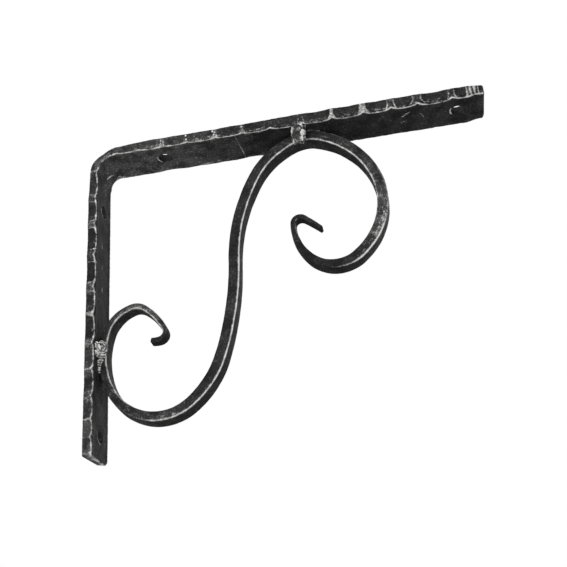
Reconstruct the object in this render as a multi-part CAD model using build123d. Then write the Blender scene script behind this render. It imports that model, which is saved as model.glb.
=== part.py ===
from build123d import *
from build123d import SkipClean
import math
import os

# A wrought-iron shelf bracket: one flat bar with hammered edges, bent to an L, and
# an S-scroll of smaller bar welded between its leg and its arm.
# Millimetres. X runs out from the wall, Z up and Y across the bar. The wall is the
# plane x = 0, and the origin lies midway between the two wall screws.

# The bent flat bar
arm_length = 225.0              # from the wall to the arm's end
leg_length = 184.0              # from the shelf down to the leg's foot
bar_width = 25.0
bar_thickness = 5.0
bend_radius = 9.0               # inside the bend
bend_flattening = 1.8           # metal lost where the bend was dressed on its outside
foot_slant = 2.6                # the foot is cut this much shorter at the back edge
corner_radius = {-1: 1.5, 1: 4.0}   # of the bar's two ends, at the front and back edge

# Screw holes, on the bar's centre line
screw_hole_diameter = 7.5
wall_hole_drop = 36.0           # of the upper one below the shelf
wall_hole_end = 14.0            # of the lower one above the foot
shelf_hole_reach = 41.5         # of the inner one from the wall
shelf_hole_end = 15.0           # of the outer one from the arm's end

# Hammer blows along both narrow edges: each leaves a shallow dish across the edge
# and spreads a lip at either side of it
blow_radius = 46.0              # of the hammer's face
blow_overlap = 0.8              # by which two neighbouring dishes run into each other
bend_margin = 1.5               # from the end of the bend to the first ridge between blows
arm_blows = (13.5, 14.0, 14.0, 16.5, 15.5, 16.0, 17.5, 17.5, 17.5, 15.5, 14.5, 19.0, 12.5, 5.0)
leg_blows = (18.0, 17.0, 20.0, 19.5, 16.5, 17.0, 14.5, 15.0, 12.5, 9.5, 9.5)

# Each lip: its height where two blows meet, and at the middle of a blow. The arm was
# hit harder from its middle on, so its lips grow there
leg_outer_lip = (0.08, 0.15)    # above the wall face
leg_inner_lip = (0.1, 0.35)     # above the leg's inner face
arm_outer_lip = (0.08, 0.2)     # above the shelf face, near the bend
arm_outer_lip_far = (1.2, 2.0)
arm_inner_lip = (0.7, 1.2)      # below the arm's underside, near the bend
arm_inner_lip_far = (0.3, 1.2)
lip_growth = (75.0, 135.0)      # distances from the wall between which they grow
lip_fade = 9.0                  # length at the arm's end over which they are lost again
bend_inner_lip = 1.4            # metal squeezed out inside the bend
lip_reach = 4.5                 # from the edge to where a lip has run out
longest_blow = 1.3              # a lip grows with its blow's length, up to this much
crest_spread = 1.5              # the bar is drawn this much past its highest lip, then cut

# Slanting blows along the front edge's inner arris: each takes a scoop off it
scoop_radius = (55.0, 21.0)     # near the bend and on the leg, and far out on the arm
scoop_gap = 1.0                 # of arris left whole between two scoops

# The scroll: flat bar on edge, drawn out thinner towards both ends
scroll_thickness = 6.0
scroll_depth = 10.0
scroll_set_back = 1.0           # from the bar's centre line towards the back edge
scroll_arris = 0.5
scroll_heading = 88.3           # degrees above level, of the stem at its middle

# Each arc is (radius of the bar's centre line, degrees turned), from the stem's middle
upper_arcs = (
    (111.5, 28.0), (45.5, 38.5), (19.5, 42.0), (48.5, 68.0), (43.0, 53.5),
    (18.5, 85.0), (31.5, 46.0), (4.0, 127.5), (139.0, 5.0),
)
lower_arcs = (
    (193.5, 16.0), (52.0, 34.0), (25.5, 62.0), (31.0, 44.5), (48.5, 39.0),
    (19.0, 56.5), (8.0, 54.0), (35.5, 28.0), (4.0, 105.0), (13.5, 20.5),
)
upper_tip = (1.6, 5.8)          # thickness and depth at the upper curl's tip
upper_taper = (73.5, 113.5)     # length from the tip over which each runs out
lower_tip = (2.5, 5.8)
lower_taper = (160.0, 55.0)

# The welds: runs of molten metal laid in front of the scroll, where it meets the bar
weld_bite = 0.6                 # how far a bead gets in behind the scroll's front face
upper_weld_offset = 3.4         # from the scroll's crown back towards the wall
upper_weld_lean = 1.0           # its top stands this much further out along the arm
upper_weld_reach = 5.6          # forward along the arm's underside
upper_weld_drop = 7.0           # down the scroll's front face
upper_run_radii = (2.9, 2.5)    # of two runs side by side
upper_run_pitch = 3.2
run_taper = 0.2                 # each run ends this much thinner
run_crater = 0.45               # its crater's width against the run's
lower_weld_rise = 5.4           # of the lump's top above the scroll's touching point
lower_weld_length = 7.0
lower_seam_radii = (3.4, 2.5)   # of the run against the scroll, at its top and bottom
lower_front_radii = (2.8, 2.3)  # of the run in front of it
lower_run_pitch = 4.0
lower_run_stagger = 1.6         # the front run is this much shorter at both ends
lower_tail_length = 7.5         # of the last run, down the seam below the lump
lower_tail_radii = (1.9, 1.0)

# Derived positions
shelf_z = (wall_hole_drop + leg_length - wall_hole_end) / 2
foot_z = shelf_z - leg_length
wall_hole_heights = (shelf_z - wall_hole_drop, foot_z + wall_hole_end)
shelf_hole_reaches = (shelf_hole_reach, arm_length - shelf_hole_end)
under_z = shelf_z - bar_thickness
half_width = bar_width / 2
bend_outer = bend_radius + bar_thickness
bend_x = bend_outer
bend_z = shelf_z - bend_outer


def spread(start, finish, weights):
    """Points from start to finish whose spacing follows the weights."""
    total = sum(weights)
    points = [start]
    for weight in weights:
        points.append(points[-1] + (finish - start) * weight / total)
    return points


# Where the blows meet, on the front edge (-1) and, in the other order, on the back one (1)
arm_ridges = {
    -1: spread(bend_x + bend_margin, arm_length, arm_blows),
    1: spread(bend_x + bend_margin, arm_length, arm_blows[::-1]),
}
leg_ridges = {
    -1: spread(bend_z - bend_margin, foot_z, leg_blows),
    1: spread(bend_z - bend_margin, foot_z, leg_blows[::-1]),
}
mean_blow = (arm_length - bend_x - bend_margin) / len(arm_blows)


def growth(x):
    """How far the arm's lips have grown at a distance from the wall, from 0 to 1."""
    grown = (x - lip_growth[0]) / (lip_growth[1] - lip_growth[0])
    left = (arm_length - x) / lip_fade
    return max(0.0, min(1.0, grown, left))


def arm_lip(near, far):
    """A lip along the arm, as a function of the distance from the wall."""
    return lambda x: [low + (high - low) * growth(x) for low, high in zip(near, far)]


def leg_lip(sizes):
    return lambda z: sizes


def scallops(ridges, lip, place):
    """Arcs that bulge from ridge to ridge. place puts (distance, height) in the plane."""
    arcs = []
    for first, second in zip(ridges, ridges[1:]):
        middle = (first + second) / 2
        low, crest = lip(middle)
        share = min(longest_blow, (abs(second - first) / mean_blow) ** 2)
        arcs.append(ThreePointArc(
            place(first, lip(first)[0]),
            place(middle, low + (crest - low) * share),
            place(second, lip(second)[0])))
    return arcs


def bar_half(side):
    """The front or back half of the L, cut out along the lips' scalloped outlines."""
    diagonal = math.sqrt(0.5)
    outer_bend = bend_outer - bend_flattening
    inner_bend = bend_radius - bend_inner_lip
    arm_row = arm_ridges[side]
    leg_row = leg_ridges[side]
    shelf_lip = arm_lip(arm_outer_lip, arm_outer_lip_far)
    under_lip = arm_lip(arm_inner_lip, arm_inner_lip_far)
    wall_lip = leg_lip(leg_outer_lip)
    inside_lip = leg_lip(leg_inner_lip)

    def on_wall(z, height):
        return (-height, z)

    def on_shelf(x, height):
        return (x, shelf_z + height)

    def on_leg(z, height):
        return (bar_thickness + height, z)

    def on_arm(x, height):
        return (x, under_z - height)

    outer_middle = (bend_x - outer_bend * diagonal, bend_z + outer_bend * diagonal)
    inner_middle = (bend_x - inner_bend * diagonal, bend_z + inner_bend * diagonal)
    edges = []
    edges += scallops(leg_row, wall_lip, on_wall)
    edges += scallops(arm_row, shelf_lip, on_shelf)
    edges += scallops(leg_row, inside_lip, on_leg)
    edges += scallops(arm_row, under_lip, on_arm)
    foot = leg_row[-1]
    tip = arm_row[-1]
    edges.append(Line(on_wall(foot, wall_lip(foot)[0]), on_leg(foot, inside_lip(foot)[0])))
    edges.append(Line(on_shelf(tip, shelf_lip(tip)[0]), on_arm(tip, under_lip(tip)[0])))
    edges.append(ThreePointArc(
        on_wall(leg_row[0], wall_lip(leg_row[0])[0]), outer_middle,
        on_shelf(arm_row[0], shelf_lip(arm_row[0])[0])))
    edges.append(ThreePointArc(
        on_leg(leg_row[0], inside_lip(leg_row[0])[0]), inner_middle,
        on_arm(arm_row[0], under_lip(arm_row[0])[0])))
    outline = make_face(Plane.XZ * Curve(edges))
    half = extrude(outline, half_width, dir=(0, side, 0))
    slant = math.degrees(math.atan2(foot_slant, bar_width))
    trim = Pos(0, -half_width, foot_z) * Rot(slant, 0, 0) * Box(
        6 * bar_thickness, 3 * bar_width, bar_width,
        align=(Align.CENTER, Align.CENTER, Align.MAX))
    half = half - trim
    rim = half.faces().sort_by(Axis.Y)[-1 if side > 0 else 0]
    foot_edge = rim.edges().filter_by(Axis.X).sort_by(Axis.Z)[0]
    end_edge = rim.edges().filter_by(Axis.Z).sort_by(Axis.X)[-1]
    return fillet([foot_edge, end_edge], corner_radius[side])


def bar_section():
    """The bar cut across: flat faces that rise to a lip at each of the four arrises."""
    outer_crest = crest_spread * arm_outer_lip_far[1]
    inner_crest = crest_spread * arm_inner_lip_far[1]
    flat = half_width - lip_reach
    inside = bar_thickness
    edges = [
        TangentArc((0, -flat), (-outer_crest, -half_width), tangent=(0, -1)),
        Line((0, -flat), (0, flat)),
        TangentArc((0, flat), (-outer_crest, half_width), tangent=(0, 1)),
        Line((-outer_crest, half_width), (inside + inner_crest, half_width)),
        TangentArc((inside, flat), (inside + inner_crest, half_width), tangent=(0, 1)),
        Line((inside, flat), (inside, -flat)),
        TangentArc((inside, -flat), (inside + inner_crest, -half_width), tangent=(0, -1)),
        Line((inside + inner_crest, -half_width), (-outer_crest, -half_width)),
    ]
    return make_face(Curve(edges))


def lipped_bar(side):
    """The section carried round the bend and, blow by blow, down the leg and along the arm."""
    section = bar_section()
    bend_plane = Plane(origin=(0, 0, bend_z), x_dir=(1, 0, 0), z_dir=(0, 0, -1))
    bend_axis = Axis((bend_x, 0, bend_z), (0, 1, 0))
    pieces = [revolve(bend_plane * section, bend_axis, 90)]
    down = [bend_z] + leg_ridges[side][:-1] + [foot_z - 1]
    for first, second in zip(down, down[1:]):
        plane = Plane(origin=(0, 0, first), x_dir=(1, 0, 0), z_dir=(0, 0, -1))
        pieces.append(extrude(plane * section, first - second))
    along = [bend_x] + arm_ridges[side][:-1] + [arm_length + 1]
    for first, second in zip(along, along[1:]):
        plane = Plane(origin=(first, 0, shelf_z), x_dir=(0, 0, -1), z_dir=(1, 0, 0))
        pieces.append(extrude(plane * section, second - first))
    return pieces[0].fuse(*pieces[1:])


def stand_off(radius, chord):
    """From a cylinder's axis to the chord along which it bites."""
    return math.sqrt(radius ** 2 - (chord / 2) ** 2)


def dishes():
    """One shallow cylinder for each blow, on the front edge and on the back edge."""
    reach = 3 * bar_thickness
    tools = []
    for side in (-1, 1):
        for first, second in zip(arm_ridges[side], arm_ridges[side][1:]):
            y = side * (half_width + stand_off(blow_radius, second - first + blow_overlap))
            spot = Pos((first + second) / 2, y, shelf_z - bar_thickness / 2)
            tools.append(spot * Cylinder(blow_radius, reach))
        for first, second in zip(leg_ridges[side], leg_ridges[side][1:]):
            y = side * (half_width + stand_off(blow_radius, first - second + blow_overlap))
            spot = Pos(bar_thickness / 2, y, (first + second) / 2) * Rot(0, 90, 0)
            tools.append(spot * Cylinder(blow_radius, reach))
    return tools


def scoops():
    """Slanting cylinders across the front edge's inner arris, from the second blow on."""
    diagonal = math.sqrt(0.5)
    under_lip = arm_lip(arm_inner_lip, arm_inner_lip_far)
    arm_row = arm_ridges[-1][1:]
    leg_row = leg_ridges[-1][1:]
    tools = []
    for first, second in zip(arm_row, arm_row[1:]):
        middle = (first + second) / 2
        radius = scoop_radius[0] + (scoop_radius[1] - scoop_radius[0]) * growth(middle)
        off = stand_off(radius, second - first - scoop_gap) * diagonal
        arris = under_z - under_lip(middle)[0]
        spot = Pos(middle, -half_width - off, arris - off) * Rot(45, 0, 0)
        tools.append(spot * Cylinder(radius, 2 * bar_thickness))
    for first, second in zip(leg_row, leg_row[1:]):
        middle = (first + second) / 2
        radius = scoop_radius[0]
        off = stand_off(radius, first - second - scoop_gap) * diagonal
        arris = bar_thickness + leg_inner_lip[0]
        spot = Pos(arris + off, -half_width - off, middle) * Rot(0, 0, -45) * Rot(90, 0, 0)
        tools.append(spot * Cylinder(radius, 2 * bar_thickness))
    return tools


def bend_dishes():
    """The blow on each edge of the bend, square to the bar where it turns."""
    diagonal = math.sqrt(0.5)
    middle = bend_radius + bar_thickness / 2
    x = bend_x - middle * diagonal
    z = bend_z + middle * diagonal
    chord = middle * math.pi / 2
    tools = []
    for side in (-1, 1):
        y = side * (half_width + stand_off(blow_radius, chord + blow_overlap))
        tools.append(Pos(x, y, z) * Rot(0, -45, 0) * Cylinder(blow_radius, 2 * bar_thickness))
    return tools


def screw_holes():
    """Plain round holes through the leg and the arm."""
    radius = screw_hole_diameter / 2
    length = 4 * bar_thickness
    tools = []
    for height in wall_hole_heights:
        tools.append(Pos(0, 0, height) * Rot(0, 90, 0) * Cylinder(radius, length))
    for reach in shelf_hole_reaches:
        tools.append(Pos(reach, 0, shelf_z) * Cylinder(radius, length))
    return tools


def make_frame_bar():
    """The hammered L. Its faces stay parted at each blow, so that none is long and thin."""
    with SkipClean():
        bar = (bar_half(-1) & lipped_bar(-1)) + (bar_half(1) & lipped_bar(1))
        bar = bar - dishes()
        bar = bar - bend_dishes()
        bar = bar - scoops()
        return bar - screw_holes()


def step_along(x, z, heading, radius, turn):
    """The centre of a clockwise arc, and where it ends."""
    start = math.radians(heading)
    finish = math.radians(heading - turn)
    centre_x = x + radius * math.sin(start)
    centre_z = z - radius * math.cos(start)
    end_x = centre_x - radius * math.sin(finish)
    end_z = centre_z + radius * math.cos(finish)
    return centre_x, centre_z, end_x, end_z


def lay_out(heading, arcs, tip, taper):
    """Each arc's start, centre, heading and turn, with the bar's size at both ends."""
    lengths = [radius * math.radians(turn) for radius, turn in arcs]
    left = sum(lengths)
    x = 0.0
    z = 0.0
    rows = []
    for (radius, turn), length in zip(arcs, lengths):
        sizes = []
        for remaining in (left, left - length):
            thin = max(0.0, 1 - remaining / taper[0])
            shallow = max(0.0, 1 - remaining / taper[1])
            thickness = scroll_thickness + (tip[0] - scroll_thickness) * thin
            depth = scroll_depth + (tip[1] - scroll_depth) * shallow
            sizes.append((thickness, depth))
        centre_x, centre_z, end_x, end_z = step_along(x, z, heading, radius, turn)
        rows.append({
            "start": (x, z), "end": (end_x, end_z), "centre": (centre_x, centre_z),
            "heading": heading, "radius": radius, "turn": turn, "sizes": sizes,
        })
        x, z, heading, left = end_x, end_z, heading - turn, left - length
    return rows


def outermost(rows, direction):
    """The point of the scroll's outside that lies furthest in the given direction."""
    steps = 2000
    best = None
    for row in rows:
        first, last = row["sizes"]
        for step in range(steps + 1):
            turned = step / steps
            reach = row["radius"] + (first[0] + (last[0] - first[0]) * turned) / 2
            angle = math.radians(row["heading"] - row["turn"] * turned)
            x = row["centre"][0] - reach * math.sin(angle)
            z = row["centre"][1] + reach * math.cos(angle)
            far = x * direction[0] + z * direction[1]
            if best is None or far > best[0]:
                best = (far, x, z)
    return best[1:]


upper_rows = lay_out(scroll_heading, upper_arcs, upper_tip, upper_taper)
lower_rows = lay_out(scroll_heading + 180, lower_arcs, lower_tip, lower_taper)

# The scroll is pushed home: its crown under the arm, its lower curl against the leg
crown = outermost(upper_rows, (0, 1))
cheek = outermost(lower_rows, (-1, 0))
scroll_x = bar_thickness - cheek[0]
scroll_z = under_z - crown[1]
crown_x = scroll_x + crown[0]
cheek_z = scroll_z + cheek[1]
scroll_front_y = scroll_set_back - scroll_depth / 2


def scroll_section(point, heading, size):
    """The scroll's bar cut across, with its arrises slightly broken."""
    angle = math.radians(heading)
    along = (math.cos(angle), 0, math.sin(angle))
    outward = (-math.sin(angle), 0, math.cos(angle))
    origin = (scroll_x + point[0], scroll_set_back, scroll_z + point[1])
    half_thick = size[0] / 2
    half_deep = size[1] / 2
    arris = scroll_arris * size[0] / scroll_thickness
    corners = []
    for u_side, v_side in ((1, 1), (-1, 1), (-1, -1), (1, -1)):
        side = (u_side * half_thick, v_side * (half_deep - arris))
        face = (u_side * (half_thick - arris), v_side * half_deep)
        corners += [side, face] if u_side == v_side else [face, side]
    plane = Plane(origin=origin, x_dir=outward, z_dir=along)
    return plane * make_face(Polyline(corners, close=True))


def scroll_arc(row):
    """One arc of the scroll: a plain turn of the bar, or a tapered one."""
    first, last = row["sizes"]
    start = scroll_section(row["start"], row["heading"], first)
    centre_x = scroll_x + row["centre"][0]
    centre_z = scroll_z + row["centre"][1]
    axis = Axis((centre_x, 0, centre_z), (0, 1, 0))
    if first == last:
        return revolve(start, axis, row["turn"])
    finish = scroll_section(row["end"], row["heading"] - row["turn"], last)
    centre_plane = Plane(origin=(centre_x, scroll_set_back, centre_z), x_dir=(1, 0, 0), z_dir=(0, -1, 0))
    path = centre_plane * CenterArc((0, 0), row["radius"], 90 + row["heading"], -row["turn"])
    return sweep([start, finish], path=path, multisection=True)


def make_scroll():
    parts = [scroll_arc(row) for row in upper_rows + lower_rows]
    scroll = parts[0]
    for part in parts[1:]:
        scroll = scroll + part
    return scroll


def weld_run(start, finish, radii):
    """One run of weld metal: a round taper whose end dies away to a small crater."""
    path = Vector(*finish) - Vector(*start)
    middle = (Align.CENTER, Align.CENTER, Align.MIN)
    body = Plane(origin=start, z_dir=path) * Cone(radii[0], radii[1], path.length, align=middle)
    crater = run_crater * radii[1]
    end = Plane(origin=finish, z_dir=path) * Cone(radii[1], crater, radii[1] - crater, align=middle)
    return [body, end]


def bead(runs, frame_bar, scroll):
    """Runs melted together, kept in front of the scroll and seated on both bars."""
    lump = runs[0].fuse(*runs[1:])
    behind = Pos(0, scroll_front_y + weld_bite, 0) * Box(
        4 * arm_length, 2 * bar_width, 4 * leg_length,
        align=(Align.CENTER, Align.MIN, Align.CENTER))
    return lump - behind - frame_bar - scroll


def make_upper_weld(frame_bar, scroll):
    """Two runs side by side, from the arm's front arris down onto the scroll's face."""
    runs = []
    y = scroll_front_y - upper_weld_reach
    for side, radius in zip((-0.5, 0.5), upper_run_radii):
        x = crown_x - upper_weld_offset + side * upper_run_pitch
        start = (x + upper_weld_lean, y, under_z)
        finish = (x, scroll_front_y, under_z - upper_weld_drop)
        runs += weld_run(start, finish, (radius, radius - run_taper))
        runs.append(Pos(*start) * Sphere(radius))
    return bead(runs, frame_bar, scroll)


def make_lower_weld(frame_bar, scroll):
    """Two short runs between the leg and the scroll's front, and a tail down the seam."""
    top_z = cheek_z + lower_weld_rise
    low_z = top_z - lower_weld_length
    seam_y = scroll_front_y - lower_seam_radii[0] / 4
    front_y = seam_y - lower_run_pitch
    seam_top = (bar_thickness + lower_seam_radii[0] / 2, seam_y, top_z)
    seam_end = (bar_thickness + lower_seam_radii[1] / 3, seam_y, low_z)
    front_top = (bar_thickness, front_y, top_z - lower_run_stagger)
    front_end = (bar_thickness, front_y, low_z + lower_run_stagger)
    tail_end = (bar_thickness, scroll_front_y, low_z - lower_tail_length)
    runs = weld_run(seam_top, seam_end, lower_seam_radii)
    runs.append(Pos(*seam_top) * Sphere(lower_seam_radii[0]))
    runs += weld_run(front_top, front_end, lower_front_radii)
    runs.append(Pos(*front_top) * Sphere(lower_front_radii[0]))
    runs += weld_run(seam_end, tail_end, lower_tail_radii)
    return bead(runs, frame_bar, scroll)


frame_bar = make_frame_bar()
scroll = make_scroll()
nodes = {
    "frame_bar": frame_bar,
    "scroll": scroll,
    "upper_weld": make_upper_weld(frame_bar, scroll),
    "lower_weld": make_lower_weld(frame_bar, scroll),
}

os.makedirs("parts", exist_ok=True)
for name, shape in nodes.items():
    export_step(shape, f"parts/{name}.step")
    print(name, round(shape.volume, 1), "mm3", len(shape.faces()), "faces", len(shape.solids()), "solids")
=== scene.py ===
import math
import bpy
import numpy as np
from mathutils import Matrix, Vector, noise


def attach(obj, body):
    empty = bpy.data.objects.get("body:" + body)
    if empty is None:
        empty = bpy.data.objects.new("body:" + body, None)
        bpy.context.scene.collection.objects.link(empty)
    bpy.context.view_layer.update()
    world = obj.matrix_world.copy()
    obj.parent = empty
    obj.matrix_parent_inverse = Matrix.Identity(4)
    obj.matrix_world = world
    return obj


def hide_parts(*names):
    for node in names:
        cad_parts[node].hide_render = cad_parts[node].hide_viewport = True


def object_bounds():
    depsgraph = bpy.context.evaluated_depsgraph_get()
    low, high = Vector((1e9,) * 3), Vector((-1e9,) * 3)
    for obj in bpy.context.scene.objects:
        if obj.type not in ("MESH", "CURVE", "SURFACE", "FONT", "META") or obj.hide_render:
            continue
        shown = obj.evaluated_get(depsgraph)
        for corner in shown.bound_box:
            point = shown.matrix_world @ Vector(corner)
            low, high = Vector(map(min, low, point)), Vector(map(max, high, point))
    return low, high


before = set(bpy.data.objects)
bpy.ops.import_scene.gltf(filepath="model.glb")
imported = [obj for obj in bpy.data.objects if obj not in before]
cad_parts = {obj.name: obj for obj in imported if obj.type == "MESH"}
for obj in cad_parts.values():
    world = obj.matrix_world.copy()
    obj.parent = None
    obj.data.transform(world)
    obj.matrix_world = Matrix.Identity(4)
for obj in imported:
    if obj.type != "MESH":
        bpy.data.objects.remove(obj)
cadBounds = [list(corner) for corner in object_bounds()]
mm = 0.001
root = "root"
cadLow, cadHigh = (np.array(corner) / mm for corner in cadBounds)
print("frame loaded")


# small helpers shared by the pieces

def roughly(values, seed):  # smooth uneven wave, about -1 to 1
    waves = ((1.0, 0.50), (1.83, 0.28), (3.37, 0.16), (6.1, 0.06))
    return sum(a * np.sin(f * values + seed * (1.3 + f)) for f, a in waves)


def lumps(points, size, seed):  # 3-D noise read at every point
    shift = Vector((seed * 7.3, seed * 3.1, seed * 5.7))
    return np.array([noise.noise(Vector(p) / size + shift) for p in points])


def smoothStep(low, high, value):
    t = np.clip((value - low) / (high - low), 0.0, 1.0)
    return t * t * (3 - 2 * t)


def addPiece(name, mesh, replaced):
    piece = bpy.data.objects.new(name, mesh)
    bpy.context.scene.collection.objects.link(piece)
    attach(piece, root)
    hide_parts(replaced)
    return piece


def shadeSmooth(mesh, material):
    mesh.materials.clear()
    mesh.materials.append(material)
    mesh.polygons.foreach_set("use_smooth", [True] * len(mesh.polygons))


def meshFrom(name, points, faces, material):
    mesh = bpy.data.meshes.new(name)
    mesh.from_pydata((np.asarray(points) * mm).tolist(), [], faces)
    mesh.validate()
    mesh.update()
    shadeSmooth(mesh, material)
    return mesh


def loftFaces(loops, around):  # quads from loop to loop
    faces = []
    for i in range(loops - 1):
        for j in range(around):
            k = (j + 1) % around
            faces.append((i * around + j, i * around + k, (i + 1) * around + k, (i + 1) * around + j))
    return faces


def bakeModifiers(piece):  # keep the shape, drop the modifiers
    graph = bpy.context.evaluated_depsgraph_get()
    made = bpy.data.meshes.new_from_object(piece.evaluated_get(graph))
    old = piece.data
    piece.modifiers.clear()
    piece.data = made
    bpy.data.meshes.remove(old)
    made.name = piece.name
    return made


def readPoints(mesh):
    flat = np.zeros(len(mesh.vertices) * 3, np.float32)
    mesh.vertices.foreach_get("co", flat)
    return flat.reshape(-1, 3) / mm


def writePoints(mesh, points):  # put the points back, none outside the solid's box
    points = np.clip(points, cadLow, cadHigh)
    mesh.vertices.foreach_set("co", (points * mm).astype(np.float32).ravel())
    mesh.update()
    return points


def writeMask(mesh, name, values):
    layer = mesh.attributes.new(name, "FLOAT", "POINT")
    layer.data.foreach_set("value", np.clip(values, 0.0, 1.0).astype(np.float32))


def writeFlow(mesh, values):  # distance along the bar, and across it two ways
    layer = mesh.attributes.new("flow", "FLOAT_VECTOR", "POINT")
    layer.data.foreach_set("vector", (values * mm).astype(np.float32).ravel())


# finishes

scales = {  # of the noises, in repeats to the metre
    "forgeBroad": 160.0, "forgeFine": 900.0, "forgePits": 650.0,
    "rubFibres": 1500.0, "rubGrain": 1250.0, "rubCoarse": 330.0,
    "dustGrains": 950.0, "dustFibres": 1100.0, "dustPatches": 130.0,
}
wax = {  # how unevenly it catches, and from where to where
    "fibreStretch": 0.28, "edgeNoise": 1.95, "edgeCatch": (0.2, 1.05), "brushNoise": 4.2, "brushCatch": (0.33, 1.4),
}


def newGroup(name, inputs, outputs):
    group = bpy.data.node_groups.new(name, "ShaderNodeTree")
    for label, kind, value in inputs:
        socket = group.interface.new_socket(label, in_out="INPUT", socket_type=kind)
        if value is not None:
            socket.default_value = value
    for label, kind in outputs:
        group.interface.new_socket(label, in_out="OUTPUT", socket_type=kind)
    return group, group.nodes.new("NodeGroupInput"), group.nodes.new("NodeGroupOutput")


def node(tree, kind, settings=None, **inputs):
    made = tree.nodes.new(kind)
    for key, value in (settings or {}).items():
        setattr(made, key, value)
    for key, value in inputs.items():
        socket = made.inputs[int(key[1:])] if key[1:].isdigit() else made.inputs[key.replace("_", " ")]
        if hasattr(value, "is_output"):
            tree.links.new(value, socket)
        else:
            socket.default_value = value
    return made


def noiseAt(tree, place, scale, detail, rough=0.55):
    return node(tree, "ShaderNodeTexNoise", Vector=place, Scale=scale, Detail=detail, Roughness=rough).outputs["Fac"]


def maths(tree, operation, first, second=0.0, third=0.0):
    return node(tree, "ShaderNodeMath", {"operation": operation}, i0=first, i1=second, i2=third).outputs[0]


def ramp(tree, value, low, high, toLow=0.0, toHigh=1.0):
    return node(tree, "ShaderNodeMapRange", {"interpolation_type": "SMOOTHSTEP"}, Value=value, i1=low, i2=high,
                i3=toLow, i4=toHigh).outputs["Result"]


def stretched(tree, vector, along):  # the same place, drawn out along the bar
    return node(tree, "ShaderNodeVectorMath", {"operation": "MULTIPLY"}, i0=vector, i1=(along, 1.0, 1.0)).outputs[0]


def makeForgeScale():  # height and tone of fire-scaled iron
    group, given, sent = newGroup("forgeScale", [("Grain", "NodeSocketFloat", 1.0)],
                                  [("Height", "NodeSocketFloat"), ("Tone", "NodeSocketFloat")])
    place = node(group, "ShaderNodeTexCoord").outputs["Object"]
    scaled = node(group, "ShaderNodeVectorMath", {"operation": "SCALE"}, i0=place,
                  Scale=given.outputs["Grain"]).outputs[0]
    broad = noiseAt(group, scaled, scales["forgeBroad"], 3.0)
    fine = noiseAt(group, scaled, scales["forgeFine"], 4.0, 0.6)
    pits = node(group, "ShaderNodeTexVoronoi", Vector=scaled, Scale=scales["forgePits"]).outputs["Distance"]
    pitted = ramp(group, pits, 0.05, 0.4)
    height = maths(group, "ADD", broad, maths(group, "MULTIPLY", fine, 0.45))
    height = maths(group, "ADD", height, maths(group, "MULTIPLY", pitted, 0.35))
    tone = maths(group, "ADD", maths(group, "MULTIPLY", broad, 0.6), maths(group, "MULTIPLY", fine, 0.4))
    group.links.new(height, sent.inputs["Height"])
    group.links.new(tone, sent.inputs["Tone"])
    return group


def makeSilverRub():  # where the silver wax has caught
    group, given, sent = newGroup(
        "silverRub",
        [("Flow", "NodeSocketVector", None), ("Edge", "NodeSocketFloat", 0.0), ("Brushed", "NodeSocketFloat", 0.0),
         ("Worn", "NodeSocketFloat", 0.5)],
        [("Silver", "NodeSocketFloat")])
    place = node(group, "ShaderNodeTexCoord").outputs["Object"]
    drawn = stretched(group, given.outputs["Flow"], wax["fibreStretch"])
    fibres = noiseAt(group, drawn, scales["rubFibres"], 2.0, 0.6)
    grain = noiseAt(group, place, scales["rubGrain"], 3.0, 0.62)
    coarse = noiseAt(group, place, scales["rubCoarse"], 2.0)
    mixed = maths(group, "ADD", maths(group, "MULTIPLY", coarse, 0.3), maths(group, "MULTIPLY", grain, 0.4))
    mixed = maths(group, "ADD", mixed, maths(group, "MULTIPLY", fibres, 0.3))
    centred = maths(group, "SUBTRACT", mixed, 0.5)
    edge = maths(group, "ADD", given.outputs["Edge"], maths(group, "MULTIPLY", centred, wax["edgeNoise"]))
    edge = maths(group, "ADD", edge, maths(group, "SUBTRACT", given.outputs["Worn"], 0.5))
    edge = maths(group, "MULTIPLY", ramp(group, edge, *wax["edgeCatch"]), ramp(group, given.outputs["Edge"], 0.04, 0.3))
    specks = maths(group, "ADD", given.outputs["Brushed"], maths(group, "MULTIPLY", centred, wax["brushNoise"]))
    masked = ramp(group, given.outputs["Brushed"], 0.02, 0.3)
    specks = maths(group, "MULTIPLY", ramp(group, specks, *wax["brushCatch"]), masked)
    group.links.new(maths(group, "MAXIMUM", edge, specks), sent.inputs["Silver"])
    return group


def makeIronDust():  # pale grains left in the pores of the black
    group, given, sent = newGroup(
        "ironDust",
        [("Flow", "NodeSocketVector", None), ("Amount", "NodeSocketFloat", 0.3)],
        [("Dust", "NodeSocketFloat"), ("Haze", "NodeSocketFloat")])
    place = node(group, "ShaderNodeTexCoord").outputs["Object"]
    grains = ramp(group, noiseAt(group, place, scales["dustGrains"], 2.0, 0.6), 0.55, 0.68)
    drawn = stretched(group, given.outputs["Flow"], 0.2)
    fibres = ramp(group, noiseAt(group, drawn, scales["dustFibres"], 2.0), 0.55, 0.7)
    patches = ramp(group, noiseAt(group, place, scales["dustPatches"], 2.0), 0.36, 0.64, 0.35, 1.0)
    both = maths(group, "MAXIMUM", grains, maths(group, "MULTIPLY", fibres, 0.3))
    haze = maths(group, "MULTIPLY", patches, given.outputs["Amount"])
    dust = maths(group, "MULTIPLY", both, maths(group, "MULTIPLY", haze, 0.75))
    group.links.new(dust, sent.inputs["Dust"])
    group.links.new(haze, sent.inputs["Haze"])
    return group


forgeScale = makeForgeScale()
silverRub = makeSilverRub()
ironDust = makeIronDust()

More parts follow.
